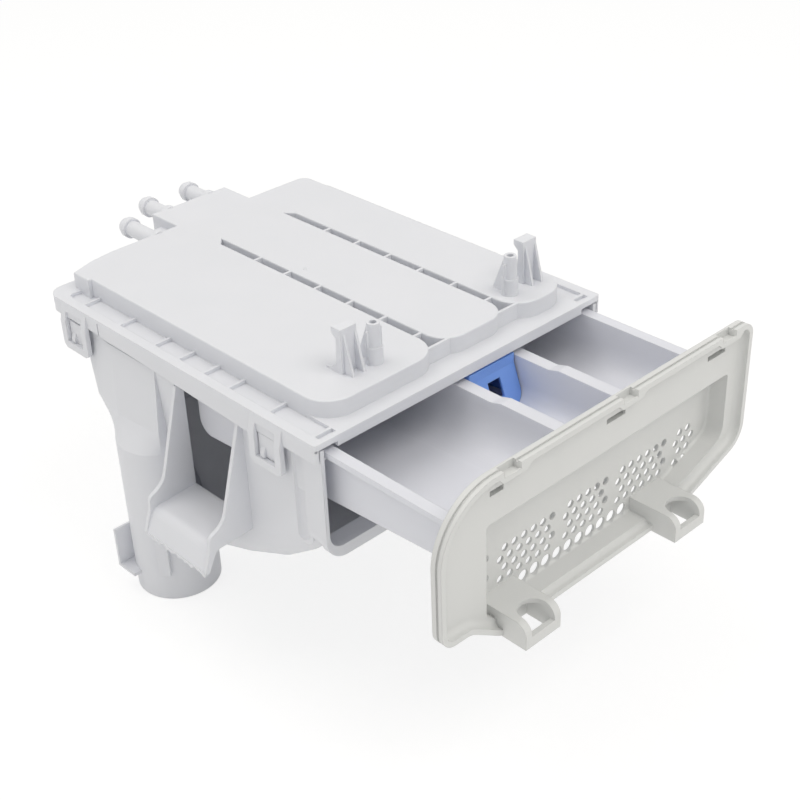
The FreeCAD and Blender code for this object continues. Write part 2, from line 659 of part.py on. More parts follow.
def pipe_fittings():
    """Key block facing outwards and the L-shaped hose ledge on the pipe."""
    key = box(PIPE_X + PIPE_R - PIPE_WALL, PIPE_X + KEY_REACH, PIPE_Y - KEY_W / 2.0, PIPE_Y + KEY_W / 2.0,
              KEY_Z0, KEY_Z1)
    key.rotate(V(PIPE_X, PIPE_Y, 0), V(0, 0, 1), KEY_ANGLE)
    upright = box(LEDGE_X0, LEDGE_X1, LEDGE_Y1 - LEDGE_T, LEDGE_Y1, LEDGE_Z0, LEDGE_Z1)
    shelf = box(LEDGE_X0, LEDGE_X1, LEDGE_Y0, LEDGE_Y1, LEDGE_Z0, LEDGE_Z0 + LEDGE_T)
    return [key, upright, shelf]


def chute():
    """Two side ribs, the floor and the down-turned lip below the overflow window."""
    inner = HOUSING_X0 + WALL / 2.0
    bend_x, bend_z = CHUTE_BEND
    edge_x, edge_z = CHUTE_EDGE
    lip = ((inner, WINDOW_Z0), (bend_x, bend_z, CHUTE_BEND_R), (edge_x, edge_z), (edge_x + CHUTE_T, edge_z),
           (bend_x + CHUTE_T, bend_z - CHUTE_T, CHUTE_BEND_R - CHUTE_T), (inner, WINDOW_Z0 - CHUTE_T))
    foot = ((edge_x + CHUTE_T, edge_z), (bend_x + CHUTE_T, bend_z - CHUTE_T), (inner, WINDOW_Z0 - CHUTE_T))
    side = ((inner, CHUTE_RIB[0][1]),) + CHUTE_RIB + foot
    ribs = [prism(side, "xz", CHUTE_Y0, CHUTE_Y0 + CHUTE_T), prism(side, "xz", CHUTE_Y1 - CHUTE_T, CHUTE_Y1)]
    return ribs + [prism(lip, "xz", CHUTE_Y0, CHUTE_Y1)]


def collar_valley(radius):
    """Rounded upright valley behind the front frame, with a ball end."""
    foot = V(HOUSING_X0 + VALLEY_DEPTH - VALLEY_R, VALLEY_Y, VALLEY_Z0)
    return Part.makeCylinder(radius, VALLEY_Z1 - VALLEY_Z0, foot).fuse(Part.makeSphere(radius, foot))


def valley_backing():
    """Bulge inside the wall that keeps its thickness round the valley."""
    reach = VALLEY_R + WALL
    bulge = collar_valley(reach)
    outside = box(-reach, HOUSING_X0 + WALL / 2.0, VALLEY_Y - 2 * reach, VALLEY_Y + 2 * reach,
                  VALLEY_Z0 - 2 * reach, VALLEY_Z1 + OVER)
    return bulge.cut(outside)


def runner():
    """Rail under the tray's rim and the stop that ends the pull."""
    x0 = HOUSING_X0 + WALL / 2.0
    x1 = HOUSING_X0 + WALL + RAIL_W
    top = TRAY_TOP_Z - TRAY_LIP_H - RAIL_GAP
    rail = box(x0, x1, RAIL_Y0, HOUSING_Y1 - WALL / 2.0, top - RAIL_T, top)
    return [rail, box(x0, x1, STOP_Y0, STOP_Y1, STOP_Z0, STOP_Z1)]


def catch(y):
    """Pad that fills the cover's latch loop, with the wedge that the loop snaps over."""
    inner = HOUSING_X0 + WALL / 2.0
    low = LOOP_BOTTOM_Z + LOOP_BAR + PAD_CLEAR
    half = LOOP_W / 2.0 - LOOP_BAR - PAD_CLEAR
    pad = box(PAD_X, inner, y - half, y + half, low, SKIRT_FRONT_Z - PAD_CLEAR)
    wedge = ((inner, BARB_CATCH_Z1), (HOUSING_X0, BARB_CATCH_Z1), (BARB_CATCH_X, low + BARB_CATCH_FLAT),
             (BARB_CATCH_X, low), (inner, low))
    middle = y + BARB_CATCH_DY
    return pad.fuse(prism(wedge, "xz", middle - BARB_CATCH_W / 2.0, middle + BARB_CATCH_W / 2.0))


def housing():
    shape = hull_outer().fuse([duct_solid(0.0)] + pipe_fittings() + chute())
    shape = shape.cut([hull_inner(), mouth(), duct_solid(PIPE_WALL)])
    window = box(HOUSING_X0 - OVER, HOUSING_X0 + WALL + OVER, CHUTE_Y0 + CHUTE_T, CHUTE_Y1 - CHUTE_T,
                 WINDOW_Z0, WINDOW_Z1)
    shape = shape.fuse(both_sides(valley_backing())).cut([window] + both_sides(collar_valley(VALLEY_R)))
    added = []
    for piece in runner() + [catch(y) for y in LOOP_YS]:
        added += both_sides(piece)
    return shape.fuse(added)


def tray_under(y):
    """Height of the tray's underside at one y."""
    return TRAY_FLOOR_Z + TRAY_FLOOR_SLOPE * (y - PLATE_BACK_Y)


def tray_floor(y):
    return tray_under(y) + TRAY_FLOOR_T


def compartment(x0, x1, rear, rounds):
    """Space of one compartment: a trough with rounded feet that runs down along the sloping floor."""
    front = PLATE_BACK_Y + TRAY_T
    high = TRAY_TOP_Z + OVER
    side = prism(((front, high), (front, tray_floor(front), TRAY_INNER_R), (rear, tray_floor(rear)),
                  (rear, high)), "yz", x0 - OVER, x1 + OVER)
    floor = tray_floor(front)
    fall = tray_floor(rear) - floor
    section = outline(((x0, high - fall), (x0, floor, rounds[0]), (x1, floor, rounds[1]), (x1, high - fall)),
                      "xz", front)
    return Part.Face(section).extrude(V(0, rear - front, fall)).common(side)


def tray_rim():
    """Rolled side rim that runs on the housing's rail."""
    x0 = TRAY_RIM_X0
    x1 = x0 + TRAY_RIM_W
    low = TRAY_TOP_Z - TRAY_RIM_T
    profile = ((x0, TRAY_TOP_Z), (x1, TRAY_TOP_Z), (x1, low), (x0 + TRAY_LIP_T, low),
               (x0 + TRAY_LIP_T, TRAY_TOP_Z - TRAY_LIP_H), (x0, TRAY_TOP_Z - TRAY_LIP_H))
    return prism(profile, "xz", PLATE_PANEL_Y + PLATE_T, TRAY_REAR_Y)


def divider_hollow(x0, x1, left_r, right_r):
    """Space inside a double-walled divider, open below, that flares round the compartments' feet."""
    skin = DIVIDER_SKIN
    y0 = PLATE_BACK_Y + 2 * TRAY_T
    y1 = TRAY_REAR_Y - 2 * TRAY_T
    under = tray_under(y0)
    fall = tray_under(y1) - under
    top = DIVIDER_LOW_Z - skin
    section = outline(((x0 - left_r, under - OVER), (x0 - left_r, under), (x0 + skin, under, left_r + skin),
                       (x0 + skin, top - fall), (x1 - skin, top - fall), (x1 - skin, under, right_r + skin),
                       (x1 + right_r, under), (x1 + right_r, under - OVER)), "xz", y0)
    below = box(x0 - left_r - OVER, x1 + right_r + OVER, y0 - OVER, y1 + OVER, under + fall - 2 * OVER, top)
    return Part.Face(section).extrude(V(0, y1 - y0, fall)).common(below)


def tray():
    x0 = TRAY_RIM_X0 + TRAY_RIM_W - TRAY_T
    side = ((PLATE_BACK_Y, TRAY_TOP_Z), (PLATE_BACK_Y, TRAY_FLOOR_Z),
            (TRAY_REAR_Y, tray_under(TRAY_REAR_Y), TRAY_REAR_R), (TRAY_REAR_Y, TRAY_TOP_Z))
    shape = prism(side, "yz", x0, COVER_W - x0)
    (a0, a1), (b0, b1) = DIVIDERS
    inner = x0 + TRAY_T
    open_end = TRAY_REAR_Y + OVER
    left, middle, right = COMPARTMENT_RS
    shape = shape.cut([compartment(inner, a0, open_end, left),
                       compartment(a1, b0, TRAY_REAR_Y - TRAY_T, middle),
                       compartment(b1, COVER_W - inner, open_end, right)])
    high = TRAY_TOP_Z + OVER
    front = PLATE_BACK_Y + TRAY_T
    lowered = prism(((front, DIVIDER_HIGH_Z), (DIVIDER_STEP_Y0, DIVIDER_HIGH_Z, DIVIDER_STEP_R),
                     (DIVIDER_STEP_Y1, DIVIDER_LOW_Z, DIVIDER_STEP_R), (open_end, DIVIDER_LOW_Z),
                     (open_end, high), (front, high)), "yz", inner, COVER_W - inner)
    shape = shape.cut([lowered, divider_hollow(a0, a1, left[1], middle[0]),
                       divider_hollow(b0, b1, middle[1], right[0])])
    stop = box(x0 - TRAY_STOP_REACH, x0 + TRAY_T / 2.0, TRAY_REAR_Y - TRAY_STOP_L, TRAY_REAR_Y,
               TRAY_STOP_Z0, TRAY_STOP_Z1)
    ceiling = FINGER_OUTLINE[0][1] + FINGER_WALL
    shelf = box(SHELF_X0, SHELF_X1, PLATE_PANEL_Y + PLATE_T, PLATE_BACK_Y + TRAY_T / 2.0, ceiling,
                ceiling + SHELF_T)
    x = (a1 + b0) / 2.0
    foot = tray_under(SIPHON_Y)
    pipe = Part.makeCylinder(STANDPIPE_R, STANDPIPE_TOP_Z - foot - TRAY_FLOOR_T / 2.0,
                             V(x, SIPHON_Y, foot + TRAY_FLOOR_T / 2.0))
    bore = Part.makeCylinder(STANDPIPE_BORE_R, STANDPIPE_TOP_Z - foot + 2 * OVER, V(x, SIPHON_Y, foot - OVER))
    return shape.fuse(both_sides(tray_rim()) + both_sides(stop) + [shelf, pipe]).cut(bore)


def round_end(space, y, radius):
    """Rounds the far edges of a space that is cut into the plate, at one y."""
    edges = [e for e in space.Edges if max(abs(e.BoundBox.YMin - y), abs(e.BoundBox.YMax - y)) < SAME_LEVEL]
    return space.makeFillet(radius, edges)


def finger_pocket():
    """Shell of the finger pocket and the space inside it."""
    shell = inset_prism(FINGER_OUTLINE, "xz", -FINGER_WALL, PLATE_PANEL_Y, PLATE_BACK_Y)
    back = PLATE_PANEL_Y + FINGER_DEPTH
    return shell, round_end(prism(FINGER_OUTLINE, "xz", PLATE_FRONT_Y, back), back, FINGER_FOOT_R)


def perforations():
    """Staggered rows of small holes with one row of larger holes below, clear of the gussets."""
    keep = GUSSET_T / 2.0 + SMALL_HOLE_R + HOLE_MARGIN
    start = PLATE_PANEL_Y + FINGER_DEPTH - OVER
    depth = FINGER_BACK_T + 2 * OVER
    holes = []
    for row, z in enumerate(SMALL_HOLE_ZS):
        shift = 0.0 if row % 2 == 0 else SMALL_HOLE_PITCH / 2.0
        for i in range(SMALL_HOLE_COUNT):
            x = SMALL_HOLE_X0 + shift + i * SMALL_HOLE_PITCH
            if min(abs(x - g) for g in GUSSET_XS) > keep:
                holes.append(Part.makeCylinder(SMALL_HOLE_R, depth, V(x, start, z), V(0, 1, 0)))
    for i in range(BIG_HOLE_COUNT):
        x = BIG_HOLE_X0 + i * BIG_HOLE_PITCH
        holes.append(Part.makeCylinder(BIG_HOLE_R, depth, V(x, start, BIG_HOLE_Z), V(0, 1, 0)))
    return holes


def gusset(x):
    """Triangular rib behind the pocket that carries the tray's floor."""
    tip = PLATE_BACK_Y + GUSSET_REACH
    root = PLATE_BACK_Y - FINGER_BACK_T / 2.0
    high = tray_under(PLATE_BACK_Y)
    profile = ((root, high), (PLATE_BACK_Y, high), (tip, tray_under(tip)), (tip, tray_under(tip) - GUSSET_T),
               (PLATE_BACK_Y, GUSSET_FOOT_Z), (root, GUSSET_FOOT_Z))
    return prism(profile, "yz", x - GUSSET_T / 2.0, x + GUSSET_T / 2.0)


def lug(x):
    """Hollow lug that stands forward from the pocket, with an arched opening behind its front bar."""
    root = PLATE_PANEL_Y + FINGER_DEPTH + FINGER_BACK_T / 2.0
    body = prism(((root, LUG_Z0), (root, LUG_Z1), (LUG_TIP_Y, LUG_Z1, LUG_BROW_R), (LUG_TIP_Y, LUG_Z0)), "yz",
                 x, x + LUG_W)
    x0 = x + LUG_SIDE
    x1 = x + LUG_W - LUG_SIDE
    bar = LUG_TIP_Y + LUG_FRONT_T
    hollow = box(x0, x1, bar, LUG_BACK_Y, LUG_Z0 - OVER, LUG_Z1 - LUG_SKIN)
    above = box(x0, x1, LUG_TIP_Y - OVER, bar + OVER, LUG_BAR_Z, LUG_Z1 + OVER)
    arch = (x1 - x0) / 2.0 - LUG_ARCH_FLAT
    opening = prism(((x0, bar), (x1, bar), (x1, LUG_ARCH_Y, arch), (x0, LUG_ARCH_Y, arch)), "xy",
                    LUG_Z0 - OVER, LUG_Z1 + OVER)
    return body, [hollow, above, opening]


def rim_tooth(x0, x1):
    """Thickening under the rim's top at one clip slot, with slanted ends."""
    z = PLATE_OUTLINE[0][1] - PLATE_RIM
    low = z - TOOTH_DROP
    left = x0 - TOOTH_SIDE
    right = x1 + TOOTH_TAIL
    return prism(((left, z + OVER), (left, z), (left + TOOTH_DROP, low), (right - TOOTH_DROP, low),
                  (right, z), (right, z + OVER)), "xz", PLATE_FRONT_Y, PLATE_PANEL_Y)


def clip_window(x0, x1):
    """Blind window behind the panel at one clip position: its box and the space in it."""
    back = PLATE_PANEL_Y + PLATE_T
    z1 = CLIP_WINDOW_Z + CLIP_WINDOW_H
    shell = box(x0 - CLIP_T, x1 + CLIP_T, PLATE_PANEL_Y, back + CLIP_DEPTH + CLIP_T, CLIP_WINDOW_Z - CLIP_T,
                z1 + CLIP_T)
    return shell, box(x0, x1, PLATE_FRONT_Y - OVER, back + CLIP_DEPTH, CLIP_WINDOW_Z, z1)


def clip_slot(x0, x1):
    """Slot down through the rim's top at one clip position, with the rim lowered in front of it."""
    top = PLATE_OUTLINE[0][1]
    brow = top - CLIP_BROW
    low = top - PLATE_RIM - OVER
    front = PLATE_FRONT_Y - OVER
    return prism(((front, top + OVER), (front, brow), (CLIP_SLOT_Y0, brow), (CLIP_SLOT_Y0, low),
                  (CLIP_SLOT_Y1, low), (CLIP_SLOT_Y1, top + OVER)), "yz", x0, x1)


def front_plate():
    panel_back = PLATE_PANEL_Y + PLATE_T
    shape = prism(PLATE_OUTLINE, "xz", PLATE_PANEL_Y - PLATE_BEAD, panel_back)
    shape = shape.fuse([inset_prism(PLATE_OUTLINE, "xz", PLATE_CHANNEL, PLATE_FRONT_Y, panel_back),
                        prism(PLATE_OUTLINE, "xz", PLATE_FRONT_Y, PLATE_FRONT_Y + PLATE_LIP)])
    recess = inset_prism(PLATE_OUTLINE, "xz", PLATE_RIM, PLATE_FRONT_Y - OVER, PLATE_PANEL_Y)
    shape = shape.cut(round_end(recess, PLATE_PANEL_Y, PLATE_FOOT_R))
    shell, space = finger_pocket()
    lugs = [lug(x) for x in LUG_XS]
    windows = [clip_window(*w) for w in CLIP_WINDOWS]
    shape = shape.fuse([shell] + [rim_tooth(*s) for s in CLIP_SLOTS] + [body for body, _ in windows])
    shape = shape.cut(space)
    shape = shape.fuse([body for body, _ in lugs] + [gusset(x) for x in GUSSET_XS])
    cuts = [cut for _, hollows in lugs for cut in hollows] + perforations()
    cuts += [hollow for _, hollow in windows] + [clip_slot(*s) for s in CLIP_SLOTS]
    return shape.cut(cuts)


def siphon_cap():
    """Hollow cap over the stand-pipe with a sloping front and its sleeve inside."""
    x0 = DIVIDERS[0][1] + CAP_CLEAR
    x1 = DIVIDERS[1][0] - CAP_CLEAR
    t = CAP_T
    body = prism(((CAP_FRONT_Y, CAP_TOP_Z), (CAP_FRONT_Y, CAP_BROW_Z), (CAP_TOE_Y, tray_floor(CAP_TOE_Y)),
                  (CAP_REAR_Y, tray_floor(CAP_REAR_Y)), (CAP_REAR_Y, CAP_TOP_Z)), "yz", x0, x1)
    body = body.common(compartment(x0, x1, TRAY_REAR_Y, [r - CAP_CLEAR for r in COMPARTMENT_RS[1]]))
    low = tray_floor(CAP_REAR_Y) - OVER
    space = prism(((CAP_FRONT_Y + t, CAP_TOP_Z - t), (CAP_FRONT_Y + t, CAP_BROW_Z),
                   (CAP_TOE_Y + t, tray_floor(CAP_TOE_Y)), (CAP_TOE_Y + t, low), (CAP_REAR_Y - t, low),
                   (CAP_REAR_Y - t, CAP_TOP_Z - t)), "yz", x0 + t, x1 - t)
    middle = (x0 + x1) / 2.0
    half = CAP_WINDOW_W / 2.0
    window = box(middle - half, middle + half, CAP_TOE_Y - OVER, CAP_FRONT_Y + 3 * t, CAP_WINDOW_Z0,
                 CAP_WINDOW_Z1)
    bottom = tray_floor(SIPHON_Y) + CAP_SLEEVE_GAP
    sleeve = Part.makeCylinder(CAP_SLEEVE_R, CAP_TOP_Z - t / 2.0 - bottom, V(middle, SIPHON_Y, bottom))
    bore = Part.makeCylinder(CAP_SLEEVE_R - CAP_SLEEVE_T, CAP_TOP_Z - t - bottom + OVER,
                             V(middle, SIPHON_Y, bottom - OVER))
    return body.cut([space, window]).fuse(sleeve).cut(bore)


os.makedirs("parts", exist_ok=True)
export("housing", housing())
export("cover", cover())
export("spray_plate", spray_plate())
export("tray", tray())
export("front_plate", front_plate())
export("siphon_cap", siphon_cap())
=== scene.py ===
"""Looks of a washing machine's detergent dispenser: finishes, small moulding marks, studio and camera."""

import logging
import math
from dataclasses import dataclass, field
from enum import Enum
from typing import Any

import bmesh
import bpy
import numpy as np
from mathutils import Matrix, Vector


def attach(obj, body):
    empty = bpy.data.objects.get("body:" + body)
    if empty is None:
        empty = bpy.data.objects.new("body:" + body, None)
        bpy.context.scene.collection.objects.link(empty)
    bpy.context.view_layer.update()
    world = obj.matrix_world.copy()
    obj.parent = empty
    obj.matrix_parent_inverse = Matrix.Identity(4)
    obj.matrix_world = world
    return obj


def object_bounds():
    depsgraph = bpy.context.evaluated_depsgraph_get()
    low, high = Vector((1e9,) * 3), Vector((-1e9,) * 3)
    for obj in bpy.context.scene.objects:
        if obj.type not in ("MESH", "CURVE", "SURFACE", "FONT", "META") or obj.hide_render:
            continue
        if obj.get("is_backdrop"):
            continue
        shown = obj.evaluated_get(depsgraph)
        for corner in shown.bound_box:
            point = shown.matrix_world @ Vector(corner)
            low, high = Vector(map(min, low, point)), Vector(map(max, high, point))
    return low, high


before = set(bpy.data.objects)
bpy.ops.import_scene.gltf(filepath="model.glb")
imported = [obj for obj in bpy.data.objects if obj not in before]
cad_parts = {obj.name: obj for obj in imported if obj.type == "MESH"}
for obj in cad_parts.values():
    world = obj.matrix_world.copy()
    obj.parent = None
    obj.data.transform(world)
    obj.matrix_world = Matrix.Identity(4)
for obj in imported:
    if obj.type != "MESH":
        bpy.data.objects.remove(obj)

log = logging.getLogger("dispenser")
MM = 0.001
WHITE_LIGHT = (1.0, 1.0, 1.0, 1.0)
# Sockets of the colour mixing node, whose names repeat for its other kinds of data
FACTOR, FIRST_COLOUR, SECOND_COLOUR, MIXED_COLOUR = 0, 6, 7, 2
# Sockets of the shader mixing node, whose two inputs share one name
SHARE, FIRST_SHADER, SECOND_SHADER = 0, 1, 2
# Sockets of the math node, whose inputs share one name
FIRST_VALUE, SECOND_VALUE = 0, 1
# Points less than this many metres apart are one point
MERGE_M = 1e-7


class Body(Enum):
    """Bodies that the small moulding marks ride on."""

    DISPENSER = "dispenser"


class Slot(Enum):
    """The record's material slots."""

    WHITE = "white_plastic"
    GREY = "grey_plastic"
    BLUE = "blue_plastic"


def linear(hex_colour: str) -> tuple[float, float, float, float]:
    """Turns an sRGB hex value into a linear colour with full alpha.

    Args:
        hex_colour: Colour such as "#E3E5E5".

    Returns:
        Red, green, blue and alpha.
    """
    srgb = np.array([int(hex_colour[i:i + 2], 16) for i in (1, 3, 5)]) / 255.0
    low, high = srgb / 12.92, ((srgb + 0.055) / 1.055) ** 2.4
    return (*np.where(srgb <= 0.04045, low, high).tolist(), 1.0)


def add(tree: bpy.types.NodeTree, kind: str, settings: dict[str, Any],
        sockets: dict[str | int, Any]) -> bpy.types.Node:
    """Adds one node with its settings, and fills or links its input sockets.

    Args:
        tree: Node tree that gets the node.
        kind: Blender's name of the node type.
        settings: Properties of the node by name.
        sockets: Input socket's name or number to a plain value, or to an output socket to link to it.

    Returns:
        The new node.
    """
    node = tree.nodes.new(kind)
    for name, value in settings.items():
        setattr(node, name, value)
    for name, value in sockets.items():
        if isinstance(value, bpy.types.NodeSocket):
            tree.links.new(value, node.inputs[name])
        else:
            node.inputs[name].default_value = value
    return node


def seen_rays(tree: bpy.types.NodeTree) -> bpy.types.Node:
    """Adds nodes that tell the rays that show a surface from the rays that light the part.

    Args:
        tree: Node tree of the floor or of the surroundings.

    Returns:
        Node whose value is 1 for rays from the camera, from reflections and through clear pieces.
    """
    path = add(tree, "ShaderNodeLightPath", {}, {})
    shown = add(tree, "ShaderNodeMath", {"operation": "MAXIMUM"}, {
        FIRST_VALUE: path.outputs["Is Camera Ray"], SECOND_VALUE: path.outputs["Is Glossy Ray"]})
    return add(tree, "ShaderNodeMath", {"operation": "MAXIMUM"}, {
        FIRST_VALUE: shown.outputs["Value"], SECOND_VALUE: path.outputs["Is Transmission Ray"]})


@dataclass(frozen=True)
class MouldedPlastic:
    """An injection moulded plastic with the grain of its mould and the faint clouds of its flow.

    Attributes:
        name: Common name of the plastic and how it was made.
        colour: Main colour.
        cloud: Colour of the faint flow clouds.
        roughness: Mean roughness of the skin.
        roughness_swing: How far the grain moves the roughness each way.
        ior: Index of refraction.
        cloud_mm: Width of a flow cloud.
        grain_mm: Spacing of the mould's spark-eroded grain, coarser than the real 0.1 mm so that it shows.
        grain_depth_mm: Height of that grain.
        edge_mm: Radius that the mould leaves on every outer edge.
        scatter: Share of the light that enters the plastic and comes out beside.
        scatter_mm: How far that light wanders.
        through: Share of the light that a thin wall passes on to its other side.
        cloud_octaves: Layers of detail in the clouds.
        cloud_fade: How much each layer of the clouds weighs beside the one before.
        grain_octaves: Layers of detail in the grain.
        edge_samples: Rays that look for an edge around each point.
    """

    name: str
    colour: str
    cloud: str
    roughness: float
    roughness_swing: float
    ior: float
    cloud_mm: float
    grain_mm: float
    grain_depth_mm: float
    edge_mm: float
    scatter: float
    scatter_mm: float
    through: float
    cloud_octaves: float = 3.0
    cloud_fade: float = 0.55
    grain_octaves: float = 2.0
    edge_samples: int = 6

    def material(self) -> bpy.types.Material:
        """Builds the node tree of this finish.

        Returns:
            A material named for the plastic.
        """
        made = bpy.data.materials.new(self.name)
        made.use_nodes = True
        tree = made.node_tree
        tree.nodes.clear()
        place = add(tree, "ShaderNodeTexCoord", {}, {}).outputs["Object"]
        cloud = add(tree, "ShaderNodeTexNoise", {}, {
            "Vector": place, "Scale": 1.0 / (self.cloud_mm * MM), "Detail": self.cloud_octaves,
            "Roughness": self.cloud_fade})
        tone = add(tree, "ShaderNodeMix", {"data_type": "RGBA"}, {
            FACTOR: cloud.outputs["Fac"], FIRST_COLOUR: linear(self.colour),
            SECOND_COLOUR: linear(self.cloud)})
        grain = add(tree, "ShaderNodeTexNoise", {}, {
            "Vector": place, "Scale": 1.0 / (self.grain_mm * MM), "Detail": self.grain_octaves})
        rough = add(tree, "ShaderNodeMapRange", {}, {
            "Value": grain.outputs["Fac"],
            "To Min": self.roughness - self.roughness_swing, "To Max": self.roughness + self.roughness_swing})
        edge = add(tree, "ShaderNodeBevel", {"samples": self.edge_samples}, {"Radius": self.edge_mm * MM})
        skin = add(tree, "ShaderNodeBump", {}, {
            "Height": grain.outputs["Fac"], "Distance": self.grain_depth_mm * MM,
            "Normal": edge.outputs["Normal"]})
        shader = add(tree, "ShaderNodeBsdfPrincipled", {}, {
            "Base Color": tone.outputs[MIXED_COLOUR], "Roughness": rough.outputs["Result"],
            "Normal": skin.outputs["Normal"], "IOR": self.ior, "Subsurface Weight": self.scatter,
            "Subsurface Radius": (1.0, 1.0, 1.0), "Subsurface Scale": self.scatter_mm * MM})
        thin = add(tree, "ShaderNodeBsdfTranslucent", {}, {"Color": tone.outputs[MIXED_COLOUR]})
        wall = add(tree, "ShaderNodeMixShader", {}, {
            SHARE: self.through, FIRST_SHADER: shader.outputs["BSDF"], SECOND_SHADER: thin.outputs["BSDF"]})
        add(tree, "ShaderNodeOutputMaterial", {}, {"Surface": wall.outputs["Shader"]})
        return made


# Natural white polypropylene: a cool, slightly waxy white with a satin skin and soft light in its thin walls
WHITE_POLYPROPYLENE = MouldedPlastic(
    name="white_moulded_polypropylene", colour="#EBECF1", cloud="#E6E8ED",
    roughness=0.42, roughness_swing=0.05,
    ior=1.49, cloud_mm=38.0, grain_mm=0.9, grain_depth_mm=0.006, edge_mm=0.45, scatter=0.2, scatter_mm=2.0,
    through=0.1)

# Tray polypropylene from another mould: the same white, polished a little more so that powder slides off
TRAY_POLYPROPYLENE = MouldedPlastic(
    name="white_tray_polypropylene", colour="#E9EAF1", cloud="#E4E6ED", roughness=0.36, roughness_swing=0.04,
    ior=1.49, cloud_mm=44.0, grain_mm=1.1, grain_depth_mm=0.004, edge_mm=0.5, scatter=0.2, scatter_mm=2.0,
    through=0.1)

# Warm grey ABS: opaque, with a fine even grain that spreads the highlights
GREY_ABS = MouldedPlastic(
    name="warm_grey_moulded_abs", colour="#DADBDA", cloud="#D5D6D5", roughness=0.46, roughness_swing=0.06,
    ior=1.53, cloud_mm=30.0, grain_mm=0.8, grain_depth_mm=0.008, edge_mm=0.5, scatter=0.0, scatter_mm=0.6,
    through=0.0)

# Blue polypropylene: clear strong blue that lets some light through its thin walls
BLUE_POLYPROPYLENE = MouldedPlastic(
    name="blue_moulded_polypropylene", colour="#8AB4FF", cloud="#82ACFB",
    roughness=0.34, roughness_swing=0.04,
    ior=1.49, cloud_mm=18.0, grain_mm=0.7, grain_depth_mm=0.004, edge_mm=0.3, scatter=0.3, scatter_mm=2.0,
    through=0.12)


def grid_object(name: str, points: np.ndarray, wrap: bool) -> bpy.types.Object:
    """Makes a mesh object from a grid of points, with quads between neighbours.

    Args:
        name: Name of the piece.
        points: Array of rows, columns and 3 coordinates in metres.
        wrap: Whether the last column joins the first.

    Returns:
        The object, at the origin, with doubled points merged and faces turned outwards.
    """
    rows, columns = points.shape[:2]
    index = np.arange(rows * columns).reshape(rows, columns)
    right = np.roll(index, -1, axis=1)
    span = columns if wrap else columns - 1
    quads = np.stack([index[:-1, :span], right[:-1, :span], right[1:, :span], index[1:, :span]], axis=-1)
    mesh = bpy.data.meshes.new(name)
    mesh.from_pydata(points.reshape(-1, 3).tolist(), [], quads.reshape(-1, 4).tolist())
    shell = bmesh.new()
    shell.from_mesh(mesh)
    bmesh.ops.remove_doubles(shell, verts=shell.verts, dist=MERGE_M)
    bmesh.ops.recalc_face_normals(shell, faces=shell.faces)
    shell.to_mesh(mesh)
    shell.free()
    made = bpy.data.objects.new(name, mesh)
    bpy.context.scene.collection.objects.link(made)
    return made


def dress(piece: bpy.types.Object, finish: bpy.types.Material) -> None:
    """Puts one finish on a piece.

    Args:
        piece: Mesh object of the piece.
        finish: Material for all its faces.
    """
    piece.data.materials.clear()
    piece.data.materials.append(finish)
    log.info("%s: %s, %d faces", piece.name, finish.name, len(piece.data.polygons))


@dataclass
class GateMark:
    """Trimmed stub of the sprue in the middle of the cover.

    Attributes:
        centre_mm: Its place on the cover's top, in the part's frame.
        radius_mm: Outer radius of the foot.
        height_mm: Height of the raised ring.
        sunk_mm: How far the foot goes into the cover.
        ring_place: Radius of the ring's crest as a share of the outer radius.
        ring_spread: Width of the ring's bump as such a share.
        stub_height: Height of the stub in the middle as a share of the ring's.
        stub_spread: Width of the stub as a share of the outer radius.
        foot_power: How late the foot turns down.
        rings: Points from the middle to the foot.
        spokes: Points around.
    """

    centre_mm: tuple[float, float, float] = (-5.65, 95.57, -20.7)
    radius_mm: float = 1.3
    height_mm: float = 0.35
    sunk_mm: float = 0.2
    ring_place: float = 0.7
    ring_spread: float = 0.16
    stub_height: float = 0.6
    stub_spread: float = 0.32
    foot_power: int = 8
    rings: int = 13
    spokes: int = 32

    def build(self) -> bpy.types.Object:
        """Surface of revolution: height over radius is a ring bump plus a lower stub in the middle.

        Returns:
            The stub, riding on the dispenser.
        """
        angles = np.linspace(0.0, 2.0 * math.pi, self.spokes, endpoint=False)
        share, turn = np.meshgrid(np.linspace(0.0, 1.0, self.rings), angles, indexing="ij")
        ring = np.exp(-((share - self.ring_place) / self.ring_spread) ** 2)
        stub = self.stub_height * np.exp(-(share / self.stub_spread) ** 2)
        high = self.height_mm * (ring + stub) - self.sunk_mm * share ** self.foot_power
        radius = self.radius_mm * share
        points = np.stack([radius * np.cos(turn), radius * np.sin(turn), high], axis=-1)
        made = grid_object("gate_mark", (points + np.array(self.centre_mm)) * MM, wrap=True)
        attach(made, Body.DISPENSER.value)
        return made


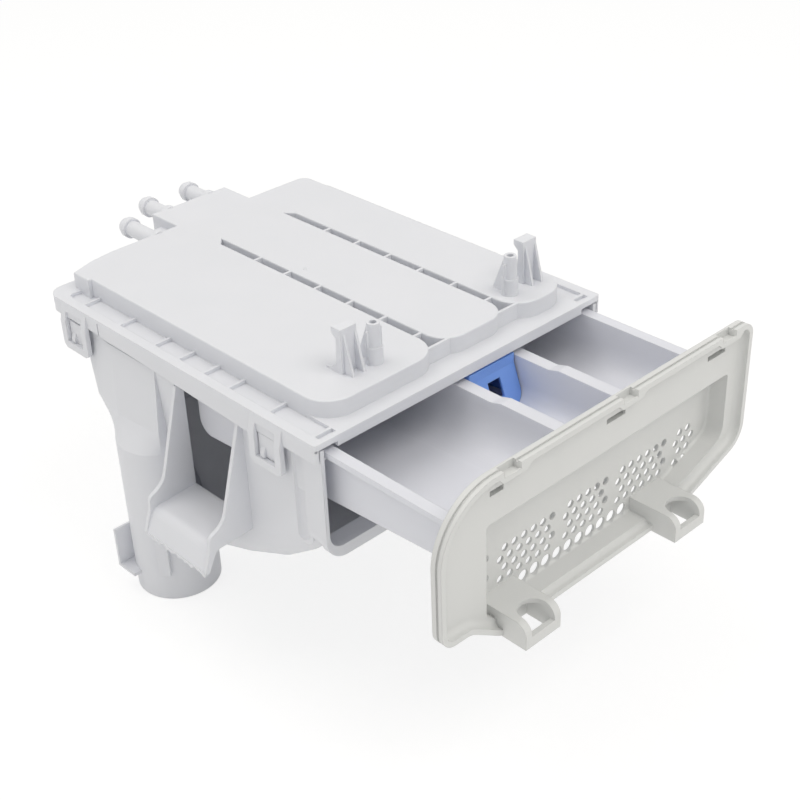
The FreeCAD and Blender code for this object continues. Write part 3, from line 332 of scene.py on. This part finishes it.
@dataclass
class ChuteFlash:
    """Ragged film of plastic left along the lower edge of the overflow chute.

    Attributes:
        start_mm: Front end of the edge, in the part's frame.
        length_mm: Length along the machine's depth.
        reach_mm: Height of the film below the edge where its depth share is 1.
        thick_mm: Thickness of the film.
        root_mm: Height of the film's root above the edge.
        end_mm: Depth to which the film runs out at both ends.
        mean_share: Mean depth share along the edge.
        least_share: Smallest depth share.
        most_share: Largest depth share.
        waves: Swing, turns in radians and phase of each wave in the depth share.
        step: Swing and turns in radians of the sudden steps in it.
        stations: Points along the edge.
    """

    start_mm: tuple[float, float, float] = (-129.66, 33.0, -114.3)
    length_mm: float = 49.0
    reach_mm: float = 1.5
    thick_mm: float = 0.7
    root_mm: float = 0.4
    end_mm: float = 0.05
    mean_share: float = 0.75
    least_share: float = 0.12
    most_share: float = 1.6
    waves: tuple[tuple[float, float, float], ...] = ((0.3, 61.0, 0.0), (0.21, 23.0, 1.0))
    step: tuple[float, float] = (0.18, 34.0)
    stations: int = 141

    def build(self) -> bpy.types.Object:
        """Closed band along the edge: its depth is a sum of two waves and a step, its section a thin box.

        Returns:
            The film, riding on the dispenser.
        """
        along = np.linspace(0.0, 1.0, self.stations)
        swing, turns, phase = np.array(self.waves).T[:, :, None]
        share = self.mean_share + (swing * np.sin(along * turns + phase)).sum(axis=0)
        share += self.step[0] * np.sign(np.sin(along * self.step[1]))
        depth = self.reach_mm * np.clip(share, self.least_share, self.most_share)
        depth[[0, -1]] = self.end_mm
        side = np.array([0.0, 0.0, self.thick_mm, self.thick_mm])
        at_tip = np.array([False, True, True, False])
        low = np.where(at_tip, depth[:, None], -self.root_mm)
        points = np.stack([
            np.broadcast_to(self.start_mm[0] + side, low.shape),
            np.broadcast_to(self.start_mm[1] + self.length_mm * along[:, None], low.shape),
            self.start_mm[2] - low], axis=-1)
        ends = [np.broadcast_to(points[i].mean(axis=0), points[i].shape)[None] for i in (0, -1)]
        made = grid_object("chute_flash", np.concatenate([ends[0], points, ends[1]]) * MM, wrap=True)
        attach(made, Body.DISPENSER.value)
        return made


@dataclass
class Dispenser:
    """Housing, cover and spray plate, which stay in the machine.

    Attributes:
        nodes: CAD nodes of the white mouldings.
        gate: Stub of the sprue on the cover.
        flash: Ragged film on the chute.
    """

    nodes: tuple[str, ...] = ("housing", "cover", "spray_plate")
    gate: GateMark = field(default_factory=GateMark)
    flash: ChuteFlash = field(default_factory=ChuteFlash)

    def build(self) -> list[bpy.types.Object]:
        """Makes the small marks of the moulding and gathers them with the CAD nodes.

        Returns:
            All white pieces.
        """
        return [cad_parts[name] for name in self.nodes] + [self.gate.build(), self.flash.build()]

    def dress(self, pieces: list[bpy.types.Object]) -> None:
        """Gives all pieces the white plastic.

        Args:
            pieces: Pieces from build.
        """
        finish = WHITE_POLYPROPYLENE.material()
        for piece in pieces:
            dress(piece, finish)


@dataclass
class Drawer:
    """Tray, front plate and siphon cap, which pull out together.

    Attributes:
        finishes: Plastic and slot of each CAD node.
    """

    finishes: dict[str, tuple[MouldedPlastic, Slot]] = field(default_factory=lambda: {
        "tray": (TRAY_POLYPROPYLENE, Slot.WHITE),
        "front_plate": (GREY_ABS, Slot.GREY),
        "siphon_cap": (BLUE_POLYPROPYLENE, Slot.BLUE)})

    def build(self) -> list[bpy.types.Object]:
        """Gathers the CAD nodes of the drawer.

        Returns:
            Tray, front plate and siphon cap.
        """
        return [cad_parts[name] for name in self.finishes]

    def dress(self, pieces: list[bpy.types.Object]) -> None:
        """Gives each piece its own plastic.

        Args:
            pieces: Pieces from build.
        """
        for piece in pieces:
            finish, slot = self.finishes[piece.name]
            dress(piece, finish.material())


@dataclass(frozen=True)
class SoftLamp:
    """A square soft lamp.

    Attributes:
        name: Name by its place.
        place: Where it hangs, in metres.
        aim: Point that it faces.
        side_m: Length of its side.
        power_w: Power of its light.
    """

    name: str
    place: tuple[float, float, float]
    aim: tuple[float, float, float]
    side_m: float
    power_w: float

    def hang(self, colour: str) -> None:
        """Hangs the lamp, turned to its aim.

        Args:
            colour: Colour of its light.
        """
        lamp = bpy.data.lights.new(self.name, "AREA")
        lamp.size = self.side_m
        lamp.energy = self.power_w
        lamp.color = linear(colour)[:3]
        made = bpy.data.objects.new(self.name, lamp)
        made.location = self.place
        made.rotation_euler = (Vector(self.aim) - Vector(self.place)).to_track_quat("-Z", "Y").to_euler()
        bpy.context.scene.collection.objects.link(made)


@dataclass
class Studio:
    """Pale floor, soft lamps and white surroundings.

    Attributes:
        floor_gap_mm: Room between the part's lowest point and the floor.
        floor_m: Length of the floor's side.
        floor_colour: Colour of the floor as the light sees it.
        shadow_share: Share of the floor's own shading that the camera sees, the rest is white.
        floor_white: Brightness of that white, so that the far floor is as white as the surroundings.
        sky_colour: Colour of the light from all round.
        sky_strength: Its strength.
        lamp_colour: Colour of every lamp, a little warm.
        lamps: The soft lamps.
    """

    floor_gap_mm: float = 0.5
    floor_m: float = 12.0
    floor_colour: str = "#FAFAFA"
    shadow_share: float = 0.3
    floor_white: float = 1.09
    sky_colour: str = "#FCFCFA"
    sky_strength: float = 0.58
    lamp_colour: str = "#FFFBF5"
    lamps: tuple[SoftLamp, ...] = (
        SoftLamp("overhead_softbox", (-0.4, 0.6, 1.5), (0.0, 0.0, -0.05), side_m=1.3, power_w=8.5),
        SoftLamp("left_softbox", (-1.5, -0.2, 0.0), (0.0, 0.0, -0.1), side_m=0.8, power_w=1.9),
        SoftLamp("high_front_softbox", (0.2, -0.8, 1.35), (0.0, 0.0, -0.08), side_m=0.9, power_w=7.8),
        SoftLamp("front_softbox", (0.7, -1.5, 0.35), (0.0, 0.0, -0.08), side_m=1.0, power_w=1.9))

    def floor(self, lowest: float) -> None:
        """Lays the floor under the part. The camera sees it white, with a share of its shading.

        Args:
            lowest: Height of the part's lowest point in metres.
        """
        half = self.floor_m / 2.0
        corner = np.linspace(-half, half, 2)
        x, y = np.meshgrid(corner, corner, indexing="ij")
        z = np.full_like(x, lowest - self.floor_gap_mm * MM)
        made = grid_object("floor", np.stack([x, y, z], axis=-1), wrap=False)
        paint = bpy.data.materials.new("matt_white_floor_paint")
        paint.use_nodes = True
        tree = paint.node_tree
        tree.nodes.clear()
        share = add(tree, "ShaderNodeMath", {"operation": "MULTIPLY"}, {
            FIRST_VALUE: seen_rays(tree).outputs["Value"], SECOND_VALUE: 1.0 - self.shadow_share})
        matt = add(tree, "ShaderNodeBsdfDiffuse", {}, {"Color": linear(self.floor_colour)})
        white = add(tree, "ShaderNodeEmission", {}, {"Color": WHITE_LIGHT, "Strength": self.floor_white})
        mixed = add(tree, "ShaderNodeMixShader", {}, {
            SHARE: share.outputs["Value"], FIRST_SHADER: matt.outputs["BSDF"],
            SECOND_SHADER: white.outputs["Emission"]})
        add(tree, "ShaderNodeOutputMaterial", {}, {"Surface": mixed.outputs["Shader"]})
        made.data.materials.append(paint)
        made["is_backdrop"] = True

    def surroundings(self) -> None:
        """White to the camera and in reflections, and a soft even light on the part."""
        world = bpy.data.worlds.new("white_studio")
        bpy.context.scene.world = world
        world.use_nodes = True
        tree = world.node_tree
        tree.nodes.clear()
        seen = seen_rays(tree)
        soft = add(tree, "ShaderNodeBackground", {}, {
            "Color": linear(self.sky_colour), "Strength": self.sky_strength})
        white = add(tree, "ShaderNodeBackground", {}, {"Color": WHITE_LIGHT, "Strength": 1.0})
        mixed = add(tree, "ShaderNodeMixShader", {}, {
            SHARE: seen.outputs["Value"], FIRST_SHADER: soft.outputs["Background"],
            SECOND_SHADER: white.outputs["Background"]})
        add(tree, "ShaderNodeOutputWorld", {}, {"Surface": mixed.outputs["Shader"]})

    def hang_lamps(self) -> None:
        """Hangs the soft lamps."""
        for lamp in self.lamps:
            lamp.hang(self.lamp_colour)


@dataclass(frozen=True)
class PhotoCamera:
    """Camera at the photograph's place.

    Attributes:
        place: Its place in metres, in the part's frame.
        heading_deg: Turn of the view from +Y towards +X.
        dip_deg: How far the view looks down.
        roll_deg: Turn about the view.
        focal_px: Focal length in pixels of the photograph.
        photo_px: Width of the photograph in pixels.
        sensor_mm: Width of the sensor.
        nearest_m: Distance from which on things are drawn.
    """

    place: tuple[float, float, float] = (-0.41681, -0.42014, 0.30540)
    heading_deg: float = 42.570
    dip_deg: float = 31.780
    roll_deg: float = -2.3285
    focal_px: float = 1421.56
    photo_px: float = 800.0
    sensor_mm: float = 36.0
    nearest_m: float = 0.01

    def build(self) -> None:
        """Sets the scene's camera from the heading, dip and roll."""
        heading, dip, roll = (math.radians(a) for a in (self.heading_deg, self.dip_deg, self.roll_deg))
        ahead = Vector((math.sin(heading) * math.cos(dip), math.cos(heading) * math.cos(dip), -math.sin(dip)))
        level = Vector((math.cos(heading), -math.sin(heading), 0.0))
        up = level.cross(ahead)
        right = level * math.cos(roll) + up * math.sin(roll)
        up = right.cross(ahead)
        data = bpy.data.cameras.new("photo_camera")
        data.sensor_width = self.sensor_mm
        data.lens = self.focal_px * self.sensor_mm / self.photo_px
        data.clip_start = self.nearest_m
        made = bpy.data.objects.new("photo_camera", data)
        bpy.context.scene.collection.objects.link(made)
        turn = Matrix((right, up, -ahead)).transposed()
        made.matrix_world = Matrix.Translation(self.place) @ turn.to_4x4()
        bpy.context.scene.camera = made


def main() -> None:
    """Builds and dresses the sub-assemblies, then sets up the studio."""
    logging.basicConfig(level=logging.INFO, format="%(message)s")
    cad_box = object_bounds()
    for assembly in (Dispenser(), Drawer()):
        assembly.dress(assembly.build())
    studio = Studio()
    studio.floor(cad_box[0].z)
    studio.surroundings()
    studio.hang_lamps()
    PhotoCamera().build()
    bpy.context.scene.view_settings.view_transform = "Standard"


if __name__ == "__main__":
    main()
